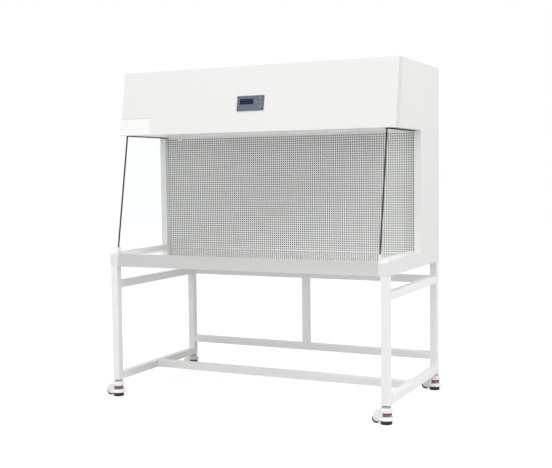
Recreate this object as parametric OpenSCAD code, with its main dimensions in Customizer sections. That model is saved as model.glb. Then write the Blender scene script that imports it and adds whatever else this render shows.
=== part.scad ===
// Horizontal laminar flow cabinet on a square tube stand with levelling casters.
// The cabinet's own coordinates put X = 0 on its centre plane, Y = 0 on the front of
// the legs and arms, and Z = 0 on the floor. place() moves them to the centre of the footprint.

/* [Cabinet] */
// Overall width across the side panels
cab_w = 1500; // [1200:10:1800]
// Depth from the front of the arms to the rear cover
cab_d = 800; // [780:5:880]
// Height of the cabinet's underside above the floor
base_z = 674; // [640:1:760]
// Height of the low side arms
arm_h = 70; // [60:1:90]
// Width of the low side arms
arm_w = 48; // [46:1:60]
// Radius of the arms' front top corner
arm_r = 12; // [4:1:20]
// Height of the work chamber above the arms
opening_h = 600; // [500:10:700]
// Height of the canopy
canopy_h = 326; // [320:1:380]
// Width of the side panels above the arms
column_w = 35; // [30:1:40]
// Front of the side columns behind the arms' front
column_y = 490; // [470:5:495]
// Thickness of the painted sheet steel
sheet = 1.5; // [1:0.1:2]
// Gap left between neighbouring covers
seam = 0.4; // [0.3:0.1:1]

/* [Leaning front] */
// Lean of the glass edge and the front cover from upright, in degrees
lean = 10.2; // [6:0.1:12]
// Front of the glass at arm height behind the arms' front
lean_y = 3; // [0:1:10]
// Depth of the front cover's sides
cover_d = 48; // [40:1:56]

/* [Worktop] */
// Height of the arms above the worktop's surface
worktop_drop = 8; // [6:1:20]
// Height of the raised front lip above the surface
lip_h = 4; // [2:0.5:6]
// Depth of the raised front lip
lip_d = 9; // [6:1:14]
// Depth of the folded flanges below the worktop
flange_h = 26; // [15:1:40]
// Front of the apron behind the arms' front
apron_y = 2; // [0:0.5:6]

/* [Side glass] */
// Thickness of the side glass
glass_t = 5; // [4:0.5:5]
// Width of the glazing channel on the arm
channel_w = 11; // [9:0.5:13]
// Height of the glazing channel
channel_h = 9; // [7:0.5:14]
// Height of the clip at the glass's front foot
clip_h = 28; // [20:1:40]
// Length of that clip
clip_d = 16; // [14:1:24]
// Width of the black edge profile
edge_w = 6.6; // [6.4:0.2:10]
// Depth of the black edge profile
edge_d = 5; // [4:0.5:14]

/* [Diffuser and filter] */
// Front face of the perforated diffuser behind the columns' front
diffuser_back = 15; // [8:1:20]
// Spacing of the diffuser's holes
hole_pitch = 52; // [48:1:80]
// Width of the diffuser's holes
hole_d = 30; // [16:1:36]
// Plain margin round the holes
margin = 24; // [20:1:40]
// Depth of the filter's frame
filter_d = 70; // [50:1:90]
// Wall of the filter's frame
filter_wall = 14; // [10:1:20]
// Spacing of the filter's pleats
pleat_pitch = 20; // [14:1:30]

/* [Display] */
// Width of the display's bezel
bezel_w = 147; // [140:1:160]
// Height of the display's bezel
bezel_h = 75; // [75:1:90]
// Height of the display's centre up the leaning front
bezel_s = 142; // [100:1:220]
// How far the bezel stands out
bezel_t = 3; // [2:0.5:5]
// Screen width
screen_w = 74; // [60:1:78]
// Screen height
screen_h = 27; // [20:1:34]
// Key diameter
key_d = 12; // [10:0.5:14]
// Spacing of the keys
key_pitch = 21; // [18:0.5:22]

/* [Lamp and hook] */
// Length of the lamp tube's glass
lamp_l = 894; // [580:1:1000]
// Diameter of the lamp tube
lamp_d = 26; // [16:0.5:28]
// Lamp tube's axis behind the arms' front
lamp_y = 376; // [300:1:420]
// How far the tube hangs below the canopy's underside
lamp_drop = 5; // [0:0.5:8]
// Distance from the end of the lamp's trough to the hook
hook_gap = 69; // [40:1:75]

/* [Blowers] */
// Blowers' distance from the centre plane
blower_x = 370; // [250:5:400]
// Width of a blower housing
blower_w = 200; // [160:5:220]
// Impeller diameter
impeller_d = 210; // [180:5:215]
// Number of impeller blades
blade_count = 30; // [20:1:36]
// Motor diameter
motor_d = 82; // [70:1:110]

/* [Stand] */
// Outside width of the square tube
tube = 38; // [34:1:42]
// Wall of the square tube
tube_wall = 2; // [1.5:0.1:2.5]
// Radius of the square tube's corners
tube_r = 3; // [3:0.5:5]
// Gap between the upper rails and the cabinet's underside
rail_gap = 74; // [50:1:110]
// Top of the rear stretcher above the floor
stretcher_z = 200; // [180:1:300]
// Front of the foot-rest bar behind the legs' front
foot_bar_y = 371; // [300:1:440]

/* [Casters] */
// Height of the leg's end above the floor
leg_z = 86; // [86:1:96]
// Wheel diameter
wheel_d = 41; // [36:0.5:42]
// Wheel width
wheel_w = 20; // [16:0.5:24]
// Gap between the wheel and the floor while the pad carries the load
wheel_lift = 2; // [1:0.5:3]
// Pad diameter
pad_d = 53; // [46:0.5:53]
// Pad height
pad_h = 17; // [12:0.5:17]
// Outside diameter of the casting's lower ring
ring_d = 74; // [66:1:78]
// Adjusting dial diameter
dial_d = 51; // [44:1:52]
// Adjusting dial height
dial_h = 14; // [10:1:14]
// Diameter of the spindles and the kingpin
spindle_d = 12; // [10:0.5:14]
// Diameter of the wheel's axle
axle_d = 8; // [6:0.5:10]

/* [Hidden] */
$fn = 64;
// Running clearance on the radius of pins in bores
fit = 0.05;
// Overrun of cutting tools past a face
over = 1;

// Heights of the cabinet
arm_top = base_z + arm_h;
worktop_z = arm_top - worktop_drop;
rail_z = base_z - rail_gap;
canopy_z = arm_top + opening_h;
cab_top = canopy_z + canopy_h;
inner_x = cab_w / 2 - column_w;
arm_x = cab_w / 2 - arm_w;
diffuser_y = column_y + diffuser_back;

// Front plane of glass and cover, and front of the side panels behind the cover
function front_y(z) = lean_y + (z - arm_top) * tan(lean);
function body_y(z) = front_y(z) + cover_d;

// Caster heights and reaches from the leg's axis
wheel_z = wheel_d / 2 + wheel_lift;
wheel_x = -(wheel_d / 2 + pad_d / 2 + 0.5);
wheel_reach = wheel_d / 2 - wheel_x;
disc_h = 12;
disc_d = 48;
disc_z = leg_z - 4 - disc_h;
boss_gap = 0.4;
boss_top = disc_z - boss_gap;
dial_z = 40;
boss_z = dial_z + dial_h + 1;
web_z = 26;
ring_z = 20;
ring_top = 36;
fork_gap = 1.5;
cheek_t = 4;
fork_w = wheel_w + 2 * fork_gap + 2 * cheek_t;

// The casters trail to the left, so the footprint's centre lies left of the centre plane
centre_x = (wheel_reach - ring_d / 2) / 2;
module place() { translate([centre_x, -cab_d / 2, 0]) children(); }

// Extrudes a profile drawn as (Y, Z) along X, from x to x + w
module along_x(x, w) { translate([x, 0, 0]) rotate([90, 0, 90]) linear_extrude(w) children(); }
// Draws in the plane of the leaning front: X stays, Y runs up the front, Z points out
module on_front() { translate([0, front_y(canopy_z), canopy_z]) rotate([90 - lean, 0, 0]) children(); }
module both_sides() {
    children();
    mirror([1, 0, 0]) children();
}
module rounded_rect(w, h, r) {
    union() {
        square([w - 2 * r, h], center = true);
        square([w, h - 2 * r], center = true);
        for (x = [-1, 1], y = [-1, 1]) translate([x * (w / 2 - r), y * (h / 2 - r)]) circle(r);
    }
}
// Square tube along Z, standing on the origin and centred on it
module square_tube(length) {
    bore = tube - 2 * tube_wall;
    linear_extrude(length) difference() {
        rounded_rect(tube, tube, tube_r);
        rounded_rect(bore, bore, tube_r - tube_wall);
    }
}

// Stand
foot_plate = 6;
leg_axis = cab_w / 2 - tube / 2;
module leg(x, y) {
    color("white") place() translate([x, y, leg_z]) difference() {
        union() {
            square_tube(base_z - leg_z);
            linear_extrude(foot_plate) rounded_rect(tube, tube, tube_r);
        }
        // Hole for the caster's threaded stem
        translate([0, 0, -over]) cylinder(d = spindle_d + 0.4, h = foot_plate + 2 * over);
    }
}
module side_rail(x, top) {
    color("white") place() translate([x, tube, top - tube / 2]) rotate([-90, 0, 0])
        square_tube(cab_d - 2 * tube);
}
module cross_rail(half, y, top) {
    color("white") place() translate([-half, y + tube / 2, top - tube / 2]) rotate([0, 90, 0])
        square_tube(2 * half);
}
low_rail_z = leg_z + tube;
module leg_front_left() { leg(-leg_axis, tube / 2); }
module leg_front_right() { leg(leg_axis, tube / 2); }
module leg_rear_left() { leg(-leg_axis, cab_d - tube / 2); }
module leg_rear_right() { leg(leg_axis, cab_d - tube / 2); }
module leg_rear_middle() {
    color("white") place() translate([0, cab_d - tube / 2, stretcher_z])
        square_tube(rail_z - tube - stretcher_z);
}
module rail_upper_left() { side_rail(-leg_axis, rail_z); }
module rail_upper_right() { side_rail(leg_axis, rail_z); }
module rail_lower_left() { side_rail(-leg_axis, low_rail_z); }
module rail_lower_right() { side_rail(leg_axis, low_rail_z); }
module beam_rear() { cross_rail(cab_w / 2 - tube, cab_d - tube, rail_z); }
module stretcher_rear() { cross_rail(cab_w / 2 - tube, cab_d - tube, stretcher_z); }
module foot_rest_bar() { cross_rail(cab_w / 2 - tube, foot_bar_y, low_rail_z); }

// Side panels: one folded sheet that forms the arm, the column and the canopy's side
arm_end = diffuser_y - over;
column_lip = 40;
module corner_cut(r) {
    difference() {
        translate([-over, -r]) square([r + over, r + over]);
        translate([r, -r]) circle(r);
    }
}
module arm_outline(inset) {
    difference() {
        translate([inset, base_z + inset]) square([arm_end - 2 * inset, arm_h - 2 * inset]);
        translate([inset, arm_top - inset]) corner_cut(arm_r - inset);
    }
}
module side_outline(inset) {
    slope = inset / cos(lean);
    difference() {
        polygon([
            [inset, base_z + inset],
            [cab_d - inset, base_z + inset],
            [cab_d - inset, cab_top - inset],
            [body_y(cab_top - inset) + slope, cab_top - inset],
            [body_y(canopy_z + inset) + slope, canopy_z + inset],
            [column_y + inset, canopy_z + inset],
            [column_y + inset, arm_top - inset],
            [inset, arm_top - inset]
        ]);
        translate([inset, arm_top - inset]) corner_cut(arm_r - inset);
    }
}
module side_panel() {
    difference() {
        union() {
            along_x(inner_x, column_w) side_outline(0);
            along_x(arm_x, arm_w) arm_outline(0);
        }
        along_x(inner_x - over, column_w - sheet + over) side_outline(sheet);
        along_x(arm_x + sheet, arm_w - 2 * sheet) arm_outline(sheet);
    }
    // The column's edge is folded back to carry the diffuser
    translate([inner_x, column_y, arm_top - sheet]) cube([sheet, column_lip, opening_h + 2 * sheet]);
}
module side_panel_left() { color("whitesmoke") place() mirror([1, 0, 0]) side_panel(); }
module side_panel_right() { color("whitesmoke") place() side_panel(); }

// Front cover: a pan folded from one sheet, with the display's window
module cover_outline(inset, back) {
    slope = inset / cos(lean);
    low = canopy_z + inset;
    high = cab_top - inset;
    polygon([
        [front_y(low) + slope, low],
        [front_y(low) + back, low],
        [front_y(high) + back, high],
        [front_y(high) + slope, high]
    ]);
}
window_w = bezel_w - 8;
window_h = bezel_h - 8;
module front_cover() {
    color("white") place() difference() {
        along_x(-cab_w / 2, cab_w) cover_outline(0, cover_d - seam);
        along_x(-cab_w / 2 + sheet, cab_w - 2 * sheet) cover_outline(sheet, cover_d + over);
        on_front() translate([-window_w / 2, bezel_s - window_h / 2, -10]) cube([window_w, window_h, 20]);
    }
}

// Top cover with the intake slots, folded down at its edges
slot_w = 6;
slot_l = 64;
slot_gap = 16;
slot_pitch = 20;
slot_back = 46;
top_fold = 20;
intake_w = 2 * blower_x + blower_w - 2 * slot_pitch;
slot_y = cab_d - slot_back - 2 * slot_l - slot_gap;
module top_cover() {
    front = body_y(cab_top) + seam;
    half = inner_x - seam;
    color("whitesmoke") place() difference() {
        translate([-half, front, cab_top - top_fold]) cube([2 * half, cab_d - front - sheet - seam, top_fold]);
        translate([-half + sheet, front + sheet, cab_top - top_fold - over])
            cube([2 * (half - sheet), cab_d - front - 3 * sheet - seam, top_fold + over - sheet]);
        for (x = [-intake_w / 2 : slot_pitch : intake_w / 2], y = [0, slot_l + slot_gap])
            translate([x - slot_w / 2, slot_y + y, cab_top - top_fold]) cube([slot_w, slot_l, 2 * top_fold]);
    }
}

// Prefilter pad under the intake slots
prefilter_t = 5;
pad_lap = 15;
module prefilter() {
    color("darkseagreen") place()
        translate([-intake_w / 2 - pad_lap, slot_y - pad_lap, cab_top - sheet - prefilter_t])
            cube([intake_w + 2 * pad_lap, 2 * slot_l + slot_gap + 2 * pad_lap, prefilter_t]);
}

// Rear cover with the folded floor of the rear housing and the inlet's cut-out
inlet_side = 190;
inlet_up = 60;
inlet_x = cab_w / 2 - inlet_side;
inlet_z = base_z + inlet_up;
inlet_w = 28;
inlet_h = 22;
module rear_cover() {
    half = inner_x - seam;
    floor_y = diffuser_y + 10;
    color("whitesmoke") place() {
        difference() {
            translate([-half, cab_d - sheet, base_z + sheet + seam])
                cube([2 * half, sheet, cab_top - base_z - sheet - seam]);
            translate([inlet_x - inlet_w / 2, cab_d - sheet - over, inlet_z - inlet_h / 2])
                cube([inlet_w, sheet + 2 * over, inlet_h]);
        }
        translate([-half, floor_y, base_z + sheet + seam]) cube([2 * half, cab_d - floor_y, sheet]);
    }
}
module power_inlet() {
    color("dimgray") place() translate([inlet_x, cab_d, inlet_z]) {
        difference() {
            union() {
                translate([-inlet_w / 2 - 10, 0, -inlet_h / 2 - 4]) cube([inlet_w + 20, 3, inlet_h + 8]);
                translate([-inlet_w / 2 + seam, -24, -inlet_h / 2 + seam])
                    cube([inlet_w - 2 * seam, 25, inlet_h - 2 * seam]);
            }
            translate([-12, -16, -8]) cube([24, 30, 16]);
            for (side = [-1, 1]) translate([side * 19.5, 4, 0]) rotate([90, 0, 0]) cylinder(d = 3.5, h = 6);
        }
        // Three contact blades
        for (blade = [[-7, -2], [0, 3], [7, -2]])
            translate([blade[0] - 1, -17, blade[1] - 2]) cube([2, 15, 4]);
    }
}

// Canopy floor with the lamp's trough and the blowers' outlets
trough_w = 56;
trough_h = 34;
trough_end = 45;
trough_l = lamp_l + 2 * trough_end;
hook_x = trough_l / 2 + hook_gap;
// The scroll widens from the tongue to the outlet, and stands clear of the rear cover and the floor
scroll_near = 13;
scroll_far = 41;
duct_w = 62;
blower_back = 6.5;
blower_foot = 16;
scroll_min = impeller_d / 2 + scroll_near;
scroll_max = impeller_d / 2 + scroll_far;
duct_in = scroll_max - duct_w;
blower_y = cab_d - sheet - blower_back - scroll_max;
blower_z = canopy_z + scroll_max + blower_foot;
module canopy_floor() {
    half = inner_x - seam;
    front = body_y(canopy_z) + seam;
    color("gainsboro") place() difference() {
        union() {
            translate([-half, front, canopy_z]) cube([2 * half, cab_d - front - sheet - seam, sheet]);
            translate([-trough_l / 2, lamp_y - trough_w / 2, canopy_z]) cube([trough_l, trough_w, trough_h]);
        }
        translate([-trough_l / 2 + sheet, lamp_y - trough_w / 2 + sheet, canopy_z - over])
            cube([trough_l - 2 * sheet, trough_w - 2 * sheet, trough_h + over - sheet]);
        for (side = [-1, 1])
            translate([side * blower_x - blower_w / 2 + 2, blower_y + duct_in + 2, canopy_z - over])
                cube([blower_w - 4, scroll_max - duct_in - 4, sheet + 2 * over]);
    }
}

// Perforated diffuser: a flat sheet with a square grid of eight-sided holes
module diffuser() {
    half = inner_x - seam;
    height = canopy_z - seam - worktop_z;
    columns = floor((half - margin) / hole_pitch);
    rows = floor((height - 2 * margin) / hole_pitch);
    first = (height - rows * hole_pitch) / 2;
    color("silver") place() translate([0, diffuser_y + sheet, worktop_z]) rotate([90, 0, 0])
        linear_extrude(sheet) difference() {
            translate([-half, 0]) square([2 * half, height]);
            for (i = [-columns : columns], j = [0 : rows])
                translate([i * hole_pitch, first + j * hole_pitch]) rotate(22.5) circle(d = hole_d, $fn = 8);
        }
}

// Filter behind the diffuser: a frame and its pleated pack
filter_y = diffuser_y + sheet + 0.3;
filter_x = inner_x - column_w / 2;
filter_z = worktop_z + 6;
filter_top = canopy_z - 0.3;
module filter_frame() {
    color("silver") place() difference() {
        translate([-filter_x, filter_y, filter_z]) cube([2 * filter_x, filter_d, filter_top - filter_z]);
        translate([-filter_x + filter_wall, filter_y - over, filter_z + filter_wall])
            cube([2 * (filter_x - filter_wall), filter_d + 2 * over, filter_top - filter_z - 2 * filter_wall]);
    }
}
module filter_pleats() {
    half = filter_x - filter_wall;
    count = floor(2 * half / pleat_pitch);
    step = 2 * half / count;
    fold = filter_d - 12;
    paper = 3;
    near = [for (i = [0 : count]) [-half + i * step, i % 2 == 0 ? 0 : fold]];
    far = [for (i = [count : -1 : 0]) [-half + i * step, (i % 2 == 0 ? 0 : fold) + paper]];
    color("white") place() translate([0, filter_y + 4, filter_z + filter_wall])
        linear_extrude(filter_top - filter_z - 2 * filter_wall) polygon(concat(near, far));
}

// Worktop: one sheet folded into a lip, an apron and side flanges
module worktop_section(inset) {
    polygon([
        [apron_y + inset, base_z + sheet],
        [apron_y + inset, worktop_z + lip_h - inset],
        [apron_y + lip_d - inset, worktop_z + lip_h - inset],
        [apron_y + lip_d + lip_h - inset, worktop_z - inset],
        [diffuser_y - seam + inset, worktop_z - inset],
        [diffuser_y - seam + inset, base_z + sheet]
    ]);
}
module worktop() {
    half = arm_x;
    back = diffuser_y - seam;
    color("silver") place() difference() {
        union() {
            along_x(-half, 2 * half) difference() {
                worktop_section(0);
                worktop_section(sheet);
                translate([apron_y + sheet + 0.01, base_z]) square([back, worktop_z - flange_h - base_z]);
            }
            both_sides() translate([half - sheet, apron_y, worktop_z - flange_h])
                cube([sheet, back - apron_y, flange_h - sheet / 2]);
            translate([-half, apron_y, base_z]) cube([2 * half, 22, sheet]);
            translate([-half, apron_y, base_z]) cube([2 * half, sheet, 2 * sheet]);
        }
    }
}

// Side glass in its channel and clip on the arm, with a black profile along the leaning edge
glass_x = arm_x + channel_w / 2;
channel_floor = 3;
glass_gap = 0.15;
module glass() {
    low = arm_top + channel_floor;
    high = canopy_z - seam;
    edge = 2;
    along_x(glass_x - glass_t / 2, glass_t) polygon([
        [front_y(low) + edge, low],
        [diffuser_y - seam, low],
        [diffuser_y - seam, high],
        [front_y(high) + edge, high]
    ]);
}
module glass_left() { color("lightcyan", 0.4) place() mirror([1, 0, 0]) glass(); }
module glass_right() { color("lightcyan", 0.4) place() glass(); }
module glass_channels() {
    start = front_y(arm_top);
    groove = glass_t / 2 + glass_gap;
    color("white") place() both_sides() difference() {
        union() {
            translate([arm_x, start + clip_d / 2, arm_top])
                cube([channel_w, column_y - start - clip_d / 2, channel_h]);
            along_x(arm_x, channel_w) polygon([
                [start, arm_top],
                [start + clip_d, arm_top],
                [front_y(arm_top + clip_h) + clip_d, arm_top + clip_h],
                [front_y(arm_top + clip_h), arm_top + clip_h]
            ]);
        }
        along_x(glass_x - groove, 2 * groove) polygon([
            [front_y(arm_top + channel_floor) + 2 - glass_gap, arm_top + channel_floor],
            [cab_d, arm_top + channel_floor],
            [cab_d, arm_top + clip_h + over],
            [front_y(arm_top + clip_h + over) + 2 - glass_gap, arm_top + clip_h + over]
        ]);
    }
}
module edge_strip(w, front, back, low, high) {
    along_x(glass_x - w / 2, w) polygon([
        [front_y(low) + front, low],
        [front_y(low) + back, low],
        [front_y(high) + back, high],
        [front_y(high) + front, high]
    ]);
}
module glass_edges() {
    low = arm_top + clip_h + 0.3;
    high = canopy_z - seam;
    color("black") place() both_sides() difference() {
        edge_strip(edge_w, 0, edge_d, low, high);
        edge_strip(glass_t + 2 * glass_gap, 2 - glass_gap, edge_d + over, low - over, high + over);
    }
}

// Display: a bezel on the leaning front with a screen, four keys and the board behind it
bezel_r = 4;
screen_x = -21;
screen_s = 8;
keys_x = 54;
key_play = 0.3;
key_travel = 1;
key_shoulder = 1.5;
key_rim = 1;
bezel_depth = 14;
rim_wall = 1.5;
keys_s = window_h / 2 - seam - rim_wall - key_d / 2 - key_rim - 0.5 - key_pitch;
key_places = [
    [keys_x, keys_s + key_pitch],
    [keys_x, keys_s],
    [keys_x, keys_s - key_pitch],
    [keys_x - key_pitch, keys_s]
];
module at_bezel() { on_front() translate([0, bezel_s, 0]) children(); }
module display_bezel() {
    inside_w = window_w - 2 * seam;
    inside_h = window_h - 2 * seam;
    color("slategray") place() at_bezel() difference() {
        union() {
            linear_extrude(bezel_t) rounded_rect(bezel_w, bezel_h, bezel_r);
            // Skirt through the cover's window
            translate([0, 0, -bezel_depth]) linear_extrude(bezel_depth) difference() {
                square([inside_w, inside_h], center = true);
                square([inside_w - 2 * rim_wall, inside_h - 2 * rim_wall], center = true);
            }
        }
        translate([screen_x - screen_w / 2, screen_s - screen_h / 2, 1]) cube([screen_w, screen_h, bezel_t]);
        for (p = key_places) translate([p[0], p[1], -over]) cylinder(d = key_d + 2 * key_play, h = bezel_t + 2 * over);
    }
}
module display_screen() {
    color("midnightblue") place() at_bezel()
        translate([screen_x - screen_w / 2 + seam / 2, screen_s - screen_h / 2 + seam / 2, 1])
            cube([screen_w - seam, screen_h - seam, bezel_t - 1.6]);
}
// A round cap with a shoulder behind the bezel and a stalk down to the board's switch
switch_top = -bezel_depth + 4;
module key(p) {
    color("lightgray") place() at_bezel() translate([p[0], p[1], 0]) {
        translate([0, 0, -0.3]) cylinder(d = key_d, h = bezel_t + 0.3 + 1);
        translate([0, 0, -0.3 - key_shoulder]) cylinder(r = key_d / 2 + key_rim, h = key_shoulder);
        translate([0, 0, switch_top + key_travel + 0.2])
            cylinder(d = 5, h = -0.3 - key_shoulder - switch_top - key_travel - 0.2);
    }
}
module key_power() { key(key_places[0]); }
module key_up() { key(key_places[1]); }
module key_down() { key(key_places[2]); }
module key_lamp() { key(key_places[3]); }
module control_board() {
    board_w = window_w - 2 * seam;
    board_h = window_h - 2 * seam;
    color("darkgreen") place() at_bezel() {
        translate([-board_w / 2, -board_h / 2, -bezel_depth - 1.6]) cube([board_w, board_h, 1.6]);
        // Switches under the keys, and the screen's module
        for (p = key_places) translate([p[0] - 3, p[1] - 3, -bezel_depth]) cube([6, 6, 4]);
        translate([screen_x - screen_w / 2, -16, -bezel_depth]) cube([screen_w, 38, 9]);
    }
}

// Lamp tube between two holders in the canopy's trough, and the hook beside it
lamp_z = canopy_z + lamp_d / 2 - lamp_drop;
holder_t = 12;
cap_l = 12;
module lamp_tube() {
    color("white") place() translate([0, lamp_y, lamp_z]) rotate([0, 90, 0]) {
        translate([0, 0, -lamp_l / 2]) cylinder(d = lamp_d, h = lamp_l);
        for (end = [-1, 1], side = [-1, 1])
            translate([0, side * 6, end * (lamp_l / 2 + 3.5) - 3.5]) cylinder(d = 2.4, h = 7);
    }
}
module lamp_holders() {
    face = lamp_l / 2 + 0.3;
    color("white") place() both_sides() difference() {
        union() {
            translate([face, lamp_y - 11, lamp_z]) cube([holder_t, 22, canopy_z + trough_h - sheet - lamp_z]);
            translate([face, lamp_y, lamp_z]) rotate([0, 90, 0]) cylinder(d = 22, h = holder_t);
        }
        for (side = [-1, 1]) translate([face - over, lamp_y + side * 6, lamp_z])
            rotate([0, 90, 0]) cylinder(d = 2.7, h = 8 + over);
    }
}
hook_w = 14;
hook_drop = 26;
hook_t = 3;
module hook() {
    color("white") place() translate([-hook_x, lamp_y, canopy_z]) rotate([90, 0, 0])
        translate([0, 0, -hook_w / 2]) linear_extrude(hook_w) {
            translate([-16, -hook_t]) square([20, hook_t]);
            translate([0, -hook_drop + 6]) square([4, hook_drop - 6]);
            // The strap turns up into a short toe
            difference() {
                translate([8, -hook_drop + 8]) circle(8);
                translate([8, -hook_drop + 8]) circle(4);
                translate([-over, -hook_drop + 8]) square([20, 20]);
            }
        }
}

// Blowers: scroll housings with an outlet down into the plenum, impellers and motors
scroll_wall = 2;
inlet_lap = 15;
inlet_d = impeller_d - 2 * inlet_lap;
tongue = 45;
shaft_d = 10;
module scroll(inset, drop) {
    turn = 360 - tongue;
    polygon(concat(
        [for (a = [0 : 15 : turn])
            let (r = scroll_min + (scroll_max - scroll_min) * a / turn - inset)
            [r * cos(-tongue - a), r * sin(-tongue - a)]],
        [[scroll_max - inset, -drop], [duct_in + inset, -drop]]
    ));
}
module blower_housing(x) {
    drop = blower_z - canopy_z - sheet;
    color("lightgray") place() translate([x, blower_y, blower_z]) difference() {
        along_x(-blower_w / 2, blower_w) scroll(0, drop);
        along_x(-blower_w / 2 + scroll_wall, blower_w - 2 * scroll_wall) scroll(scroll_wall, drop + over);
        translate([-blower_w / 2 - over, 0, 0]) rotate([0, 90, 0]) cylinder(d = inlet_d, h = blower_w + 2 * over);
    }
}
module blower_housing_left() { blower_housing(-blower_x); }
module blower_housing_right() { blower_housing(blower_x); }
side_gap = 15;
impeller_w = blower_w - 2 * side_gap;
blade_l = 24;
blade_t = 1.5;
hub_d = 30;
hub_l = 12;
mount_t = 4;
motor_l = impeller_w / 2 - hub_l - 2;
motor_end = blower_w / 2 + mount_t;
module impeller(x) {
    r = impeller_d / 2;
    color("silver") place() translate([x, blower_y, blower_z]) rotate([0, 90, 0]) {
        // Hub plate, shaft and two end rings
        translate([0, 0, -1.5]) cylinder(d = impeller_d - 2, h = 3);
        translate([0, 0, -hub_l / 2]) cylinder(d = hub_d, h = hub_l);
        translate([0, 0, -hub_l / 2]) cylinder(d = shaft_d, h = motor_end + 2);
        for (end = [-1, 1]) translate([0, 0, end * (impeller_w / 2 - 2) - 2]) difference() {
            cylinder(d = impeller_d, h = 4);
            translate([0, 0, -over]) cylinder(d = impeller_d - 2 * blade_l, h = 4 + 2 * over);
        }
        for (k = [0 : blade_count - 1]) rotate(k * 360 / blade_count)
            translate([r - blade_l, -blade_t / 2, -impeller_w / 2 + 1]) rotate(-12)
                cube([blade_l - 3, blade_t, impeller_w - 2]);
    }
}
module impeller_left() { impeller(-blower_x); }
module impeller_right() { impeller(blower_x); }
module fan_motors() {
    start = motor_end - motor_l;
    color("dimgray") place() for (side = [-1, 1]) translate([side * blower_x, blower_y, blower_z])
        rotate([0, 90, 0]) difference() {
            union() {
                translate([0, 0, start]) cylinder(d = motor_d, h = motor_l);
                // Three arms reach the rim of the housing's inlet
                for (k = [0 : 2]) rotate(60 + k * 120)
                    translate([motor_d / 2 - 4, -8, blower_w / 2]) cube([inlet_d / 2 + 16 - motor_d / 2, 16, 4]);
            }
            translate([0, 0, start - over]) cylinder(d = shaft_d + 2 * fit, h = motor_l + 2 * over);
        }
}

// Casters: each turns on its kingpin, with its wheel trailing to the left
caster_places = [
    [-leg_axis, tube / 2],
    [leg_axis, tube / 2],
    [-leg_axis, cab_d - tube / 2],
    [leg_axis, cab_d - tube / 2]
];
module at_caster(i) { place() translate([caster_places[i][0], caster_places[i][1], 0]) children(); }
stem_top = leg_z + 24;
kingpin_z = boss_z + over;
module caster_stems() {
    color("gray") for (i = [0 : 3]) at_caster(i) {
        translate([0, 0, kingpin_z]) cylinder(d = spindle_d, h = disc_z - kingpin_z);
        translate([0, 0, disc_z]) cylinder(d = disc_d, h = disc_h / 2);
        translate([0, 0, disc_z + disc_h / 2]) cylinder(d = disc_d - 6, h = disc_h / 2);
        translate([0, 0, disc_z + disc_h]) cylinder(d = spindle_d + 8, h = leg_z - disc_z - disc_h);
        translate([0, 0, leg_z]) cylinder(d = spindle_d, h = stem_top - leg_z);
    }
}
hood_x = wheel_x + 10.5;
hood_z = wheel_z + 14.5;
hood_r = 25;
module fork_outline() {
    translate([hood_x, hood_z]) circle(hood_r);
    translate([wheel_x, wheel_z]) circle(axle_d / 2 + 5);
    polygon([
        [hood_x - 8, hood_z + hood_r - 2],
        [-28, boss_top],
        [-12, boss_top],
        [-12, boss_z],
        [-29, boss_z],
        [-29, web_z],
        [hood_x, hood_z - hood_r + 4]
    ]);
}
module fork_extrude(w) { translate([0, w / 2, 0]) rotate([90, 0, 0]) linear_extrude(w) children(); }
opening_a = 105;
module caster_casting() {
    well_w = wheel_w + 2 * fork_gap;
    well_r = wheel_d / 2 + 1.5;
    wall_r = dial_d / 2 + 2.5;
    difference() {
        union() {
            fork_extrude(fork_w) fork_outline();
            // Upper boss, lower ring and the wall behind the dial
            translate([0, 0, boss_z]) cylinder(r = 31, h = boss_top - boss_z - 3);
            translate([0, 0, boss_top - 3]) cylinder(r1 = 31, r2 = 28, h = 3);
            translate([0, 0, ring_z]) cylinder(d = ring_d, h = 6);
            translate([0, 0, ring_z + 6]) cylinder(d1 = ring_d, d2 = ring_d - 14, h = ring_top - ring_z - 6);
            translate([0, 0, ring_top]) cylinder(r = wall_r + 4, h = boss_z - ring_top);
        }
        // Room for the dial, open at the front and right
        translate([0, 0, ring_top]) cylinder(r = wall_r, h = boss_z - ring_top);
        translate([0, 0, ring_top]) linear_extrude(boss_z - ring_top) polygon([
            [0, 0],
            [60 * cos(opening_a), -60 * sin(opening_a)],
            [60, -60],
            [60, 60],
            [60 * cos(opening_a), 60 * sin(opening_a)]
        ]);
        // Room for the pad, the spindle and the kingpin
        translate([0, 0, ring_z - 20]) cylinder(r = pad_d / 2 + 1.5, h = web_z - ring_z + 20);
        translate([0, 0, web_z - over]) cylinder(d = spindle_d + 2 * fit, h = boss_top);
        // Wheel well and the hollow above it
        translate([wheel_x, well_w / 2, wheel_z]) rotate([90, 0, 0]) cylinder(r = well_r, h = well_w);
        translate([hood_x, well_w / 2, hood_z]) rotate([90, 0, 0]) cylinder(r = hood_r - 3.5, h = well_w);
    }
    // The wheel's axle, pressed into both cheeks
    translate([wheel_x, fork_w / 2, wheel_z]) rotate([90, 0, 0]) cylinder(d = axle_d, h = fork_w);
}
module caster_body(i) { color("ivory") at_caster(i) caster_casting(); }
module caster_body_front_left() { caster_body(0); }
module caster_body_front_right() { caster_body(1); }
module caster_body_rear_left() { caster_body(2); }
module caster_body_rear_right() { caster_body(3); }
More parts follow.
